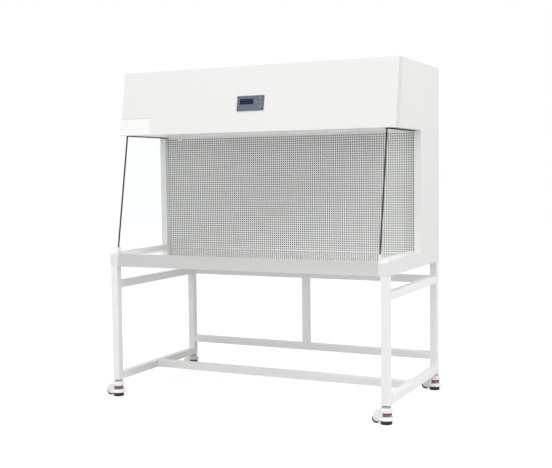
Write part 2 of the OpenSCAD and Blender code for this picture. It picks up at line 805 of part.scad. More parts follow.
module wheel(i) {
    r = wheel_d / 2;
    edge = 3;
    hub = 7.5;
    half = wheel_w / 2;
    color("#2b2b2b") at_caster(i) translate([wheel_x, 0, wheel_z]) rotate([90, 0, 0]) rotate_extrude()
        polygon([
            [axle_d / 2 + fit, -half],
            [hub, -half],
            [hub + 1, -half + 2.5],
            [r - 6, -half + 2.5],
            [r - 5, -half],
            [r - edge, -half],
            [r, -half + edge],
            [r, half - edge],
            [r - edge, half],
            [r - 5, half],
            [r - 6, half - 2.5],
            [hub + 1, half - 2.5],
            [hub, half],
            [axle_d / 2 + fit, half]
        ]);
}
module wheel_front_left() { wheel(0); }
module wheel_front_right() { wheel(1); }
module wheel_rear_left() { wheel(2); }
module wheel_rear_right() { wheel(3); }
dial_teeth = 20;
module dial(i) {
    color("crimson") at_caster(i) translate([0, 0, dial_z]) difference() {
        cylinder(d = dial_d, h = dial_h);
        translate([0, 0, -over]) cylinder(d = spindle_d + 2 * fit, h = dial_h + 2 * over);
        for (k = [0 : dial_teeth - 1]) rotate(k * 360 / dial_teeth)
            translate([dial_d / 2 + 1, 0, -over]) cylinder(r = 2.6, h = dial_h + 2 * over);
    }
}
module dial_front_left() { dial(0); }
module dial_front_right() { dial(1); }
module dial_rear_left() { dial(2); }
module dial_rear_right() { dial(3); }
spindle_top = dial_z + 9;
module foot(i) {
    color("#222222") at_caster(i) {
        rotate_extrude() polygon([
            [0, 0],
            [pad_d / 2 - 1.5, 0],
            [pad_d / 2, 1.5],
            [pad_d / 2, pad_h - 4],
            [pad_d / 2 - 3, pad_h],
            [0, pad_h]
        ]);
        translate([0, 0, pad_h]) cylinder(d = spindle_d, h = spindle_top - pad_h);
    }
}
module foot_front_left() { foot(0); }
module foot_front_right() { foot(1); }
module foot_rear_left() { foot(2); }
module foot_rear_right() { foot(3); }

leg_front_left();
leg_front_right();
leg_rear_left();
leg_rear_right();
leg_rear_middle();
rail_upper_left();
rail_upper_right();
rail_lower_left();
rail_lower_right();
beam_rear();
stretcher_rear();
foot_rest_bar();
side_panel_left();
side_panel_right();
front_cover();
top_cover();
rear_cover();
canopy_floor();
diffuser();
worktop();
glass_left();
glass_right();
glass_channels();
glass_edges();
display_bezel();
display_screen();
key_power();
key_up();
key_down();
key_lamp();
control_board();
lamp_tube();
lamp_holders();
hook();
filter_frame();
filter_pleats();
prefilter();
power_inlet();
blower_housing_left();
blower_housing_right();
impeller_left();
impeller_right();
fan_motors();
caster_stems();
caster_body_front_left();
caster_body_front_right();
caster_body_rear_left();
caster_body_rear_right();
wheel_front_left();
wheel_front_right();
wheel_rear_left();
wheel_rear_right();
dial_front_left();
dial_front_right();
dial_rear_left();
dial_rear_right();
foot_front_left();
foot_front_right();
foot_rear_left();
foot_rear_right();
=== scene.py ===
import math

import bpy
from mathutils import Matrix, Vector


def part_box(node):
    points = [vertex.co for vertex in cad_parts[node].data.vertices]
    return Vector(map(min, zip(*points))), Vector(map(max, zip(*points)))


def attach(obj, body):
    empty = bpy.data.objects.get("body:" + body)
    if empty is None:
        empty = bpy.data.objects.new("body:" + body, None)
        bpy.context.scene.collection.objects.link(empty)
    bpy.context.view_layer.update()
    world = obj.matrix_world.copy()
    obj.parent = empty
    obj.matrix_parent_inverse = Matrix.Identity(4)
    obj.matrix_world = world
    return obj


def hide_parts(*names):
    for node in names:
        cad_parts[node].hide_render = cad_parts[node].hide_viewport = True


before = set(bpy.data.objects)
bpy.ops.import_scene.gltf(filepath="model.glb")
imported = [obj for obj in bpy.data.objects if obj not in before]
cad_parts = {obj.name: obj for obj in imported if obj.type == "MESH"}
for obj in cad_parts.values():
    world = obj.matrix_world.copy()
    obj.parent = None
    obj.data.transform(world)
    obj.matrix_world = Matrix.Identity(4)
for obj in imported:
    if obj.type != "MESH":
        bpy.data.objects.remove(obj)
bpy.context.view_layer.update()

# View
# The camera stands to the right of the open front at chest height, as in the photograph.
# It is placed by its position and its three directions in the shared frame.
scene = bpy.context.scene
scene.view_settings.view_transform = "Standard"
CAMERA_PLACE = Vector((2.1809, -4.4889, 1.1449))
RIGHT_WAY = Vector((0.90111, 0.43341, -0.01201))
UP_WAY = Vector((-0.01669, 0.06237, 0.99791))
BACK_WAY = RIGHT_WAY.cross(UP_WAY)
camera_data = bpy.data.cameras.new("camera")
camera_data.sensor_fit = "HORIZONTAL"
camera_data.sensor_width = 36
camera_data.lens = 63.03
camera_data.clip_end = 60
camera = bpy.data.objects.new("camera", camera_data)
scene.collection.objects.link(camera)
camera.matrix_world = Matrix((
    (RIGHT_WAY.x, UP_WAY.x, BACK_WAY.x, CAMERA_PLACE.x),
    (RIGHT_WAY.y, UP_WAY.y, BACK_WAY.y, CAMERA_PLACE.y),
    (RIGHT_WAY.z, UP_WAY.z, BACK_WAY.z, CAMERA_PLACE.z),
    (0, 0, 0, 1),
))
scene.camera = camera

# Studio
# A pale floor that keeps the shadow, an even white surround and three soft panels.
# Camera, mirror and glass rays see plain white where the surround is bare.
PAPER_WHITE = (1.0, 1.0, 1.0, 1)
SURROUND_LIGHT = 0.58
FLOOR_GREY = (0.60, 0.60, 0.60, 1)
FLOOR_GLOW = 0.66
FLOOR_SIZE = 60


def direct_view(tree):
    # One for rays from the camera, through glass or off a mirror, zero for all others
    path = tree.nodes.new("ShaderNodeLightPath")
    through = tree.nodes.new("ShaderNodeMath")
    through.operation = "MAXIMUM"
    tree.links.new(path.outputs["Is Camera Ray"], through.inputs[0])
    tree.links.new(path.outputs["Is Transmission Ray"], through.inputs[1])
    direct = tree.nodes.new("ShaderNodeMath")
    direct.operation = "MAXIMUM"
    tree.links.new(through.outputs[0], direct.inputs[0])
    tree.links.new(path.outputs["Is Glossy Ray"], direct.inputs[1])
    return direct.outputs[0]


world = bpy.data.worlds.new("studio")
scene.world = world
world.use_nodes = True
tree = world.node_tree
tree.nodes.clear()
world_out = tree.nodes.new("ShaderNodeOutputWorld")
surround = tree.nodes.new("ShaderNodeBackground")
surround.inputs["Color"].default_value = PAPER_WHITE
surround.inputs["Strength"].default_value = SURROUND_LIGHT
seen = tree.nodes.new("ShaderNodeBackground")
seen.inputs["Color"].default_value = PAPER_WHITE
seen.inputs["Strength"].default_value = 1.0
mix = tree.nodes.new("ShaderNodeMixShader")
tree.links.new(direct_view(tree), mix.inputs["Fac"])
tree.links.new(surround.outputs[0], mix.inputs[1])
tree.links.new(seen.outputs[0], mix.inputs[2])
tree.links.new(mix.outputs[0], world_out.inputs["Surface"])


def soft_panel(name, place, target, size, watts):
    data = bpy.data.lights.new(name, "AREA")
    data.shape = "SQUARE"
    data.size = size
    data.energy = watts
    lamp = bpy.data.objects.new(name, data)
    scene.collection.objects.link(lamp)
    lamp.location = place
    aim = Vector(target) - Vector(place)
    lamp.rotation_euler = aim.to_track_quat("-Z", "Y").to_euler()


soft_panel("key_panel", (-1.2, -4.9, 1.8), (0, 0, 0.8), 2.2, 37)
soft_panel("fill_panel", (4.6, -0.5, 4.0), (0, 0, 0.9), 2.4, 98)
soft_panel("top_panel", (0, -3.2, 7.2), (0, -0.2, 0.7), 4.5, 205)

bpy.ops.mesh.primitive_plane_add(size=FLOOR_SIZE, location=(0, 0, 0))
floor = bpy.context.object
floor.name = "floor"
floor_paint = bpy.data.materials.new("floor_paint")
floor_paint.use_nodes = True
tree = floor_paint.node_tree
tree.nodes.clear()
floor_out = tree.nodes.new("ShaderNodeOutputMaterial")
matt = tree.nodes.new("ShaderNodeBsdfDiffuse")
matt.inputs["Color"].default_value = FLOOR_GREY
glow = tree.nodes.new("ShaderNodeEmission")
glow.inputs["Color"].default_value = PAPER_WHITE
glow_level = tree.nodes.new("ShaderNodeMath")
glow_level.operation = "MULTIPLY"
glow_level.inputs[1].default_value = FLOOR_GLOW
lit = tree.nodes.new("ShaderNodeAddShader")
tree.links.new(direct_view(tree), glow_level.inputs[0])
tree.links.new(glow_level.outputs[0], glow.inputs["Strength"])
tree.links.new(matt.outputs[0], lit.inputs[0])
tree.links.new(glow.outputs[0], lit.inputs[1])
tree.links.new(lit.outputs[0], floor_out.inputs["Surface"])
floor.data.materials.append(floor_paint)

# Stand
# Square steel tubes butt-welded into a frame, ground flush and powder coated white.
# The coat's fine orange peel and faint unevenness come from one shared node group.
MILLIMETRE = 0.001
EDGE_ROUNDING = 1.2 * MILLIMETRE
PEEL_DEPTH = 0.3 * MILLIMETRE
PEEL_ROUGHNESS = 0.12
CLOUD_TINT = (0.6, 0.6, 0.58, 1)


def group_socket(group, name, kind, way, value=None):
    socket = group.interface.new_socket(name=name, in_out=way, socket_type=kind)
    if value is not None:
        socket.default_value = value


def add_group(tree, group):
    node = tree.nodes.new("ShaderNodeGroup")
    node.node_tree = group
    return node


def coat_group():
    group = bpy.data.node_groups.new("powder_coat_texture", "ShaderNodeTree")
    group_socket(group, "Colour", "NodeSocketColor", "INPUT", (0.9, 0.9, 0.9, 1))
    group_socket(group, "Roughness", "NodeSocketFloat", "INPUT", 0.35)
    group_socket(group, "Peel per metre", "NodeSocketFloat", "INPUT", 700.0)
    group_socket(group, "Unevenness", "NodeSocketFloat", "INPUT", 0.04)
    group_socket(group, "Colour", "NodeSocketColor", "OUTPUT")
    group_socket(group, "Roughness", "NodeSocketFloat", "OUTPUT")
    group_socket(group, "Height", "NodeSocketFloat", "OUTPUT")
    nodes = group.nodes
    links = group.links
    given = nodes.new("NodeGroupInput")
    result = nodes.new("NodeGroupOutput")
    place = nodes.new("ShaderNodeTexCoord")
    peel = nodes.new("ShaderNodeTexNoise")
    peel.inputs["Detail"].default_value = 2.0
    links.new(place.outputs["Object"], peel.inputs["Vector"])
    links.new(given.outputs["Peel per metre"], peel.inputs["Scale"])
    cloud = nodes.new("ShaderNodeTexNoise")
    cloud.inputs["Scale"].default_value = 3.5
    cloud.inputs["Detail"].default_value = 4.0
    links.new(place.outputs["Object"], cloud.inputs["Vector"])
    spread = nodes.new("ShaderNodeMath")
    spread.operation = "MULTIPLY"
    links.new(cloud.outputs["Fac"], spread.inputs[0])
    links.new(given.outputs["Unevenness"], spread.inputs[1])
    darker = nodes.new("ShaderNodeMix")
    darker.data_type = "RGBA"
    darker.blend_type = "MULTIPLY"
    darker.inputs["B"].default_value = CLOUD_TINT
    links.new(spread.outputs[0], darker.inputs["Factor"])
    links.new(given.outputs["Colour"], darker.inputs["A"])
    links.new(darker.outputs["Result"], result.inputs["Colour"])
    rough = nodes.new("ShaderNodeMath")
    rough.operation = "MULTIPLY_ADD"
    rough.inputs[1].default_value = PEEL_ROUGHNESS
    links.new(peel.outputs["Fac"], rough.inputs[0])
    links.new(given.outputs["Roughness"], rough.inputs[2])
    links.new(rough.outputs[0], result.inputs["Roughness"])
    links.new(peel.outputs["Fac"], result.inputs["Height"])
    return group


COAT = coat_group()


def plain_material(name, colour, roughness, metallic=0.0):
    material = bpy.data.materials.new(name)
    material.use_nodes = True
    shader = material.node_tree.nodes["Principled BSDF"]
    shader.inputs["Base Color"].default_value = (*colour, 1)
    shader.inputs["Roughness"].default_value = roughness
    shader.inputs["Metallic"].default_value = metallic
    material.diffuse_color = (*colour, 1)
    return material


def bump_from(material, socket, strength, distance):
    tree = material.node_tree
    bump = tree.nodes.new("ShaderNodeBump")
    bump.inputs["Strength"].default_value = strength
    bump.inputs["Distance"].default_value = distance
    # Bends and cut edges catch the light as if rounded by a millimetre
    rounded = tree.nodes.new("ShaderNodeBevel")
    rounded.samples = 4
    rounded.inputs["Radius"].default_value = EDGE_ROUNDING
    tree.links.new(rounded.outputs["Normal"], bump.inputs["Normal"])
    tree.links.new(socket, bump.inputs["Height"])
    tree.links.new(bump.outputs["Normal"], tree.nodes["Principled BSDF"].inputs["Normal"])


def coated(name, colour, roughness, peel=700.0, unevenness=0.04, strength=0.12, metallic=0.0):
    material = plain_material(name, colour, roughness, metallic)
    tree = material.node_tree
    coat = add_group(tree, COAT)
    coat.inputs["Colour"].default_value = (*colour, 1)
    coat.inputs["Roughness"].default_value = roughness
    coat.inputs["Peel per metre"].default_value = peel
    coat.inputs["Unevenness"].default_value = unevenness
    shader = tree.nodes["Principled BSDF"]
    tree.links.new(coat.outputs["Colour"], shader.inputs["Base Color"])
    tree.links.new(coat.outputs["Roughness"], shader.inputs["Roughness"])
    bump_from(material, coat.outputs["Height"], strength, PEEL_DEPTH)
    return material


def dress(node, material):
    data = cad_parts[node].data
    data.materials.clear()
    data.materials.append(material)


stand_white = coated("stand_white", (0.93, 0.93, 0.925), 0.32)
STAND = [
    "leg_front_left", "leg_front_right", "leg_rear_left", "leg_rear_right", "leg_rear_middle",
    "rail_upper_left", "rail_upper_right", "rail_lower_left", "rail_lower_right",
    "beam_rear", "stretcher_rear", "foot_rest_bar",
]
for name in STAND:
    dress(name, stand_white)

# Weld beads
# A fillet of weld metal runs round the end of every rail and beam, under the powder coat.
# Each is a thin four-cornered ring on the face that the tube is welded to.
TUBE = 38 * MILLIMETRE
BEAD_R = 1.6 * MILLIMETRE
TURNS = {
    "x": (0, math.pi / 2, 0),
    "y": (math.pi / 2, 0, 0),
    "z": (0, 0, 0),
}


def centre(node):
    low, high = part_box(node)
    return (low + high) / 2


def settle(piece):
    bpy.ops.object.select_all(action="DESELECT")
    piece.select_set(True)
    bpy.context.view_layer.objects.active = piece
    bpy.ops.object.transform_apply(location=True, rotation=True, scale=True)


def merge(pieces, name):
    bpy.ops.object.select_all(action="DESELECT")
    for piece in pieces:
        piece.select_set(True)
    bpy.context.view_layer.objects.active = pieces[0]
    if len(pieces) > 1:
        bpy.ops.object.join()
    whole = bpy.context.object
    whole.name = name
    whole.data.name = name
    return whole


def finish_piece(piece, material, body, smooth_angle=40):
    settle(piece)
    bpy.ops.object.shade_smooth_by_angle(angle=math.radians(smooth_angle))
    piece.data.materials.clear()
    piece.data.materials.append(material)
    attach(piece, body)


def weld_ring(place, along):
    bpy.ops.mesh.primitive_torus_add(
        location=place,
        rotation=TURNS[along],
        major_segments=4,
        minor_segments=8,
        major_radius=TUBE / math.sqrt(2),
        minor_radius=BEAD_R,
    )
    ring = bpy.context.object
    bpy.ops.object.mode_set(mode="EDIT")
    bpy.ops.mesh.select_all(action="SELECT")
    bpy.ops.transform.rotate(value=math.radians(45), orient_axis=along.upper(), center_override=place)
    bpy.ops.object.mode_set(mode="OBJECT")
    settle(ring)
    return ring


beads = []
for name in ["rail_upper_left", "rail_upper_right", "rail_lower_left", "rail_lower_right"]:
    low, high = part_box(name)
    middle = centre(name)
    for end in (low.y, high.y):
        beads.append(weld_ring((middle.x, end, middle.z), "y"))
for name in ["beam_rear", "stretcher_rear", "foot_rest_bar"]:
    low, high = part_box(name)
    middle = centre(name)
    for end in (low.x, high.x):
        beads.append(weld_ring((end, middle.y, middle.z), "x"))
low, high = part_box("leg_rear_middle")
middle = centre("leg_rear_middle")
for end in (low.z, high.z):
    beads.append(weld_ring((middle.x, middle.y, end), "z"))
finish_piece(merge(beads, "weld_beads"), stand_white, "cabinet")

# Casters
# Each is a zinc plated stem, a white casting with its wheel, a red dial and a black pad.
# The castings are pressure cast and painted; wheel and dial are moulded nylon, the pad is rubber.
CORNERS = ["front_left", "front_right", "rear_left", "rear_right"]
CASTING_WHITE = (0.93, 0.93, 0.92)
DIAL_SHADE_TOP = 45.5 * MILLIMETRE
DISC_PAINT_TOP = 76 * MILLIMETRE


def height_group():
    # Gives a part another colour below a height above the floor
    group = bpy.data.node_groups.new("finish or painted shade split by height", "ShaderNodeTree")
    group_socket(group, "Level", "NodeSocketFloat", "INPUT")
    group_socket(group, "Colour below", "NodeSocketColor", "INPUT")
    group_socket(group, "Colour above", "NodeSocketColor", "INPUT")
    group_socket(group, "Colour", "NodeSocketColor", "OUTPUT")
    group_socket(group, "Above", "NodeSocketFloat", "OUTPUT")
    nodes = group.nodes
    links = group.links
    given = nodes.new("NodeGroupInput")
    result = nodes.new("NodeGroupOutput")
    place = nodes.new("ShaderNodeTexCoord")
    axes = nodes.new("ShaderNodeSeparateXYZ")
    above = nodes.new("ShaderNodeMath")
    above.operation = "GREATER_THAN"
    two_tone = nodes.new("ShaderNodeMix")
    two_tone.data_type = "RGBA"
    links.new(place.outputs["Object"], axes.inputs["Vector"])
    links.new(axes.outputs["Z"], above.inputs[0])
    links.new(given.outputs["Level"], above.inputs[1])
    links.new(above.outputs[0], two_tone.inputs["Factor"])
    links.new(given.outputs["Colour below"], two_tone.inputs["A"])
    links.new(given.outputs["Colour above"], two_tone.inputs["B"])
    links.new(two_tone.outputs["Result"], result.inputs["Colour"])
    links.new(above.outputs[0], result.inputs["Above"])
    return group


HEIGHT_SPLIT = height_group()


def split_finish_or_shade(material, level, colour_below):
    tree = material.node_tree
    node = add_group(tree, HEIGHT_SPLIT)
    node.inputs["Level"].default_value = level
    node.inputs["Colour below"].default_value = (*colour_below, 1)
    base = tree.nodes["Principled BSDF"].inputs["Base Color"]
    tree.links.new(base.links[0].from_socket, node.inputs["Colour above"])
    tree.links.new(node.outputs["Colour"], base)
    return node


stem_zinc = coated("stem_zinc", (0.40, 0.40, 0.40), 0.30, 1500.0, 0.25, 0.1, 1.0)
# The disc is bare zinc above and painted white where it meets the casting
painted = split_finish_or_shade(stem_zinc, DISC_PAINT_TOP, CASTING_WHITE)
stem_zinc.node_tree.links.new(
    painted.outputs["Above"],
    stem_zinc.node_tree.nodes["Principled BSDF"].inputs["Metallic"],
)
dress("caster_stems", stem_zinc)
casting_white = coated("casting_white", CASTING_WHITE, 0.38, 450.0, 0.08, 0.25)
wheel_black = coated("wheel_black", (0.02, 0.02, 0.02), 0.42, 900.0, 0.1, 0.2)
dial_red = coated("dial_red", (0.36, 0.018, 0.05), 0.38, 1200.0, 0.2, 0.15)
# The dial's lower skirt is painted grey under the red band: painted shade under the dial
split_finish_or_shade(dial_red, DIAL_SHADE_TOP, (0.30, 0.30, 0.30))
pad_rubber = coated("pad_rubber", (0.018, 0.018, 0.018), 0.6, 1600.0, 0.2, 0.35)
for corner in CORNERS:
    dress("caster_body_" + corner, casting_white)
    dress("wheel_" + corner, wheel_black)
    dress("dial_" + corner, dial_red)
    dress("foot_" + corner, pad_rubber)

# Axle caps
# The wheel's axle ends in a low riveted cap on each cheek of the fork, zinc plated.
# The cap is a turned disc with a rounded rim and a shallow centre.
FORK_HALF = 15.5 * MILLIMETRE
CAP_SUNK = 0.2 * MILLIMETRE
CAP_R = 6.5 * MILLIMETRE
CAP_HIGH = 2 * MILLIMETRE
CAP_DISH = 0.5 * MILLIMETRE


def pick_faces(piece, wanted):
    # Leaves the piece in edit mode with only the wanted faces picked
    bpy.ops.object.mode_set(mode="EDIT")
    bpy.ops.mesh.select_mode(type="FACE")
    bpy.ops.mesh.select_all(action="DESELECT")
    bpy.ops.object.mode_set(mode="OBJECT")
    for face in piece.data.polygons:
        face.select = wanted(face)
    bpy.ops.object.mode_set(mode="EDIT")


def end_edit():
    bpy.ops.mesh.select_mode(type="VERT")
    bpy.ops.object.mode_set(mode="OBJECT")


def rounded_disc(corners, radius, height, foot, rounding, steps):
    # A disc with a rounded upper rim, left in edit mode with its top face picked
    bpy.ops.mesh.primitive_cylinder_add(
        vertices=corners,
        radius=radius,
        depth=height,
        location=(0, 0, foot + height / 2),
    )
    disc = bpy.context.object
    settle(disc)
    pick_faces(disc, lambda face: face.normal.z > 0.9)
    bpy.ops.mesh.bevel(offset=height * rounding, segments=steps, affect="EDGES")
    pick_faces(disc, lambda face: face.normal.z > 0.99)
    return disc


def turned_cap(place, way, radius, height, dish):
    cap = rounded_disc(24, radius, height, -height / 2, 0.4, 3)
    bpy.ops.mesh.inset(thickness=radius * 0.4, depth=-dish)
    end_edit()
    turn = Vector(way).to_track_quat("Z", "Y").to_matrix().to_4x4()
    cap.matrix_world = Matrix.Translation(Vector(place)) @ turn
    settle(cap)
    return cap


zinc_plate = coated("zinc_plate", (0.62, 0.63, 0.65), 0.28, 1500.0, 0.25, 0.1, 1.0)
for corner in CORNERS:
    foot_middle = centre("foot_" + corner)
    wheel_middle = centre("wheel_" + corner)
    caps = []
    for side in (-1, 1):
        spot = (wheel_middle.x, foot_middle.y + side * (FORK_HALF - CAP_SUNK), wheel_middle.z)
        caps.append(turned_cap(spot, (0, side, 0), CAP_R, CAP_HIGH, CAP_DISH))
    pair = merge(caps, "axle_caps_" + corner)
    finish_piece(pair, zinc_plate, "caster_body_" + corner + "_body")

# Side panels
# One folded steel sheet a side makes the arm, the column and the canopy's cheek.
# The cabinet's outer sheets share one powder coat, a shade darker than the stand's.
COVER_WHITE = (0.835, 0.835, 0.83)
cover_white = coated("cover_white", COVER_WHITE, 0.36, 600.0, 0.03, 0.12)
for name in ["side_panel_left", "side_panel_right", "rear_cover", "top_cover", "canopy_floor"]:
    dress(name, cover_white)

# Front cover
# A pan folded from one sheet leans over the open front and wraps round the canopy's sides.
# Its folded sides are painted a shade greyer than its face: painted shade, not a different coat.


def painted_shading_group():
    # Gives the faces square to an axis a colour of their own, for painted light and shade
    group = bpy.data.node_groups.new("painted shading by facing", "ShaderNodeTree")
    group_socket(group, "Axis", "NodeSocketVector", "INPUT")
    group_socket(group, "Colour away", "NodeSocketColor", "INPUT")
    group_socket(group, "Painted colour facing", "NodeSocketColor", "INPUT")
    group_socket(group, "Colour", "NodeSocketColor", "OUTPUT")
    nodes = group.nodes
    links = group.links
    given = nodes.new("NodeGroupInput")
    result = nodes.new("NodeGroupOutput")
    shape = nodes.new("ShaderNodeNewGeometry")
    along = nodes.new("ShaderNodeVectorMath")
    along.operation = "DOT_PRODUCT"
    either_way = nodes.new("ShaderNodeMath")
    either_way.operation = "ABSOLUTE"
    square = nodes.new("ShaderNodeMapRange")
    square.inputs["From Min"].default_value = 0.4
    square.inputs["From Max"].default_value = 0.9
    two_tone = nodes.new("ShaderNodeMix")
    two_tone.data_type = "RGBA"
    links.new(shape.outputs["True Normal"], along.inputs[0])
    links.new(given.outputs["Axis"], along.inputs[1])
    links.new(along.outputs["Value"], either_way.inputs[0])
    links.new(either_way.outputs[0], square.inputs["Value"])
    links.new(square.outputs["Result"], two_tone.inputs["Factor"])
    links.new(given.outputs["Colour away"], two_tone.inputs["A"])
    links.new(given.outputs["Painted colour facing"], two_tone.inputs["B"])
    links.new(two_tone.outputs["Result"], result.inputs["Colour"])
    return group


PAINTED_SHADING = painted_shading_group()


def paint_shading_by_facing(material, axis, painted_colour):
    tree = material.node_tree
    node = add_group(tree, PAINTED_SHADING)
    node.inputs["Axis"].default_value = axis
    node.inputs["Painted colour facing"].default_value = (*painted_colour, 1)
    base = tree.nodes["Principled BSDF"].inputs["Base Color"]
    if base.is_linked:
        tree.links.new(base.links[0].from_socket, node.inputs["Colour away"])
    else:
        node.inputs["Colour away"].default_value = base.default_value
    tree.links.new(node.outputs["Colour"], base)


front_white = coated("front_white", COVER_WHITE, 0.36, 600.0, 0.03, 0.12)
# Painted shade: the side faces, square to the x axis, are painted greyer than the face
paint_shading_by_facing(front_white, (1, 0, 0), (0.755, 0.755, 0.75))
dress("front_cover", front_white)

# Worktop
# Polished stainless sheet, folded on a press into a low lip, an apron and side flanges.
# Fine polishing lines run across it, and they draw out what it reflects.
LINE_DEPTH = 0.1 * MILLIMETRE
APRON_GREY = (0.56, 0.56, 0.557)
TOP_PAINTED_HIGHLIGHT = (0.96, 0.96, 0.955)


def polished(name, colour, roughness, stretch, strength, spread_by=0.05):
    material = plain_material(name, colour, roughness, 1.0)
    tree = material.node_tree
    place = tree.nodes.new("ShaderNodeTexCoord")
    mapping = tree.nodes.new("ShaderNodeMapping")
    mapping.inputs["Scale"].default_value = stretch
    lines = tree.nodes.new("ShaderNodeTexNoise")
    lines.inputs["Scale"].default_value = 1.0
    lines.inputs["Detail"].default_value = 3.0
    tree.links.new(place.outputs["Object"], mapping.inputs["Vector"])
    tree.links.new(mapping.outputs["Vector"], lines.inputs["Vector"])
    spread = tree.nodes.new("ShaderNodeMapRange")
    spread.inputs["To Min"].default_value = roughness - spread_by
    spread.inputs["To Max"].default_value = roughness + spread_by
    tree.links.new(lines.outputs["Fac"], spread.inputs["Value"])
    tree.links.new(spread.outputs["Result"], tree.nodes["Principled BSDF"].inputs["Roughness"])
    bump_from(material, lines.outputs["Fac"], strength, LINE_DEPTH)
    return material


stainless = polished("stainless", APRON_GREY, 0.10, (6.0, 500.0, 500.0), 0.015, 0.02)
# The top is painted brighter than the folded front: a painted highlight of the light from above
paint_shading_by_facing(stainless, (0, 0, 1), TOP_PAINTED_HIGHLIGHT)
dress("worktop", stainless)

# Diffuser and filter
# A sheet of coated steel, punched all over with round holes, evens out the clean air.
# Behind it stand the filter's frame and its pleated paper, both painted near black: painted shade
# behind the holes.
HOLE_PITCH = 11.75 * MILLIMETRE
HOLE_R = 4.1 * MILLIMETRE
HOLE_COLUMNS = 121
HOLE_ROWS = 51
UPRIGHT = (math.pi / 2, 0, 0)
low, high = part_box("diffuser")
grid_x = (low.x + high.x) / 2 - HOLE_COLUMNS * HOLE_PITCH / 2
# The lowest row of holes starts a millimetre above the sheet's foot
grid_z = low.z + MILLIMETRE
far_x = grid_x + HOLE_COLUMNS * HOLE_PITCH
far_z = grid_z + HOLE_ROWS * HOLE_PITCH
cell_place = (grid_x + HOLE_PITCH / 2, low.y, grid_z + HOLE_PITCH / 2)
bpy.ops.mesh.primitive_plane_add(size=HOLE_PITCH, location=cell_place, rotation=UPRIGHT)
diffuser = bpy.context.object
diffuser.name = "perforated_sheet"
bpy.ops.object.mode_set(mode="EDIT")
bpy.ops.mesh.select_all(action="SELECT")
bpy.ops.mesh.delete(type="ONLY_FACE")
bpy.ops.mesh.primitive_circle_add(vertices=6, radius=HOLE_R, location=cell_place, rotation=UPRIGHT)
bpy.ops.mesh.select_all(action="SELECT")
bpy.ops.mesh.fill(use_beauty=True)
bpy.ops.object.mode_set(mode="OBJECT")
settle(diffuser)
for count, step in ((HOLE_COLUMNS, (HOLE_PITCH, 0, 0)), (HOLE_ROWS, (0, 0, HOLE_PITCH))):
    array = diffuser.modifiers.new("row", "ARRAY")
    array.count = count
    array.use_relative_offset = False
    array.use_constant_offset = True
    array.constant_offset_displace = step
    array.use_merge_vertices = True
    array.merge_threshold = 0.1 * MILLIMETRE
    bpy.ops.object.modifier_apply(modifier=array.name)
for vertex in diffuser.data.vertices:
    # The outermost points move out to the sheet's edges and leave a plain margin
    if vertex.co.x < grid_x + MILLIMETRE / 2:
        vertex.co.x = low.x
    if vertex.co.x > far_x - MILLIMETRE / 2:
        vertex.co.x = high.x
    if vertex.co.z < grid_z + MILLIMETRE / 2:
        vertex.co.z = low.z
    if vertex.co.z > far_z - MILLIMETRE / 2:
        vertex.co.z = high.z
wall = diffuser.modifiers.new("wall", "SOLIDIFY")
wall.thickness = high.y - low.y
wall.offset = -1
bpy.ops.object.modifier_apply(modifier=wall.name)
diffuser.data.materials.append(coated("sheet_grey", (0.775, 0.775, 0.77), 0.5, 900.0, 0.05, 0.1))
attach(diffuser, "cabinet")
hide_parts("diffuser")
# Painted shade: the filter's frame and paper are painted near black so the holes read dark
dress("filter_frame", coated("frame_painted_shade", (0.05, 0.05, 0.052), 0.5, 800.0, 0.1, 0.15))
dress("filter_pleats", coated("filter_paper", (0.10, 0.10, 0.098), 0.8, 2500.0, 0.1, 0.4))

# Side glass
# Clear toughened panes stand in white channels screwed to the arms.
# A black profile is pushed over the leaning edge of each one.
glass_clear = plain_material("glass_clear", (0.99, 1.0, 0.995), 0.0)
tree = glass_clear.node_tree
shader = tree.nodes["Principled BSDF"]
shader.inputs["Transmission Weight"].default_value = 1.0
shader.inputs["IOR"].default_value = 1.1
path = tree.nodes.new("ShaderNodeLightPath")
clear = tree.nodes.new("ShaderNodeBsdfTransparent")
clear.inputs["Color"].default_value = (0.93, 0.95, 0.95, 1)
mix = tree.nodes.new("ShaderNodeMixShader")
tree.links.new(path.outputs["Is Shadow Ray"], mix.inputs["Fac"])
tree.links.new(shader.outputs[0], mix.inputs[1])
tree.links.new(clear.outputs[0], mix.inputs[2])
tree.links.new(mix.outputs[0], tree.nodes["Material Output"].inputs["Surface"])
dress("glass_left", glass_clear)
dress("glass_right", glass_clear)
dress("glass_channels", cover_white)
dress("glass_edges", coated("edge_black", (0.015, 0.015, 0.016), 0.4, 900.0, 0.1, 0.15))

# Shade strips at the glass tops
# A black strip lies along each side of a pane's top edge, under the canopy's floor.
# It is painted shade: a dark strip where the canopy's underside lies in shadow.
SHADE_STRIP_DEEP = 4 * MILLIMETRE
SHADE_STRIP_WIDE = 12 * MILLIMETRE
SHADE_STRIP_BACK = 88 * MILLIMETRE
# The leaning front starts just behind the arms' ends and leans back up to the canopy's foot
LEAN = math.radians(10.2)
FRONT_START_Y = -0.4 + 3 * MILLIMETRE
CHAMBER_HIGH = 0.6
FRONT_FOOT_Y = FRONT_START_Y + CHAMBER_HIGH * math.tan(LEAN)
SHADE_STRIP_FRONT = FRONT_FOOT_Y + 12 * MILLIMETRE


def round_edges(piece, width):
    soft = piece.modifiers.new("soft", "BEVEL")
    soft.width = width
    soft.segments = 3
    soft.limit_method = "ANGLE"
    bpy.ops.object.modifier_apply(modifier=soft.name)


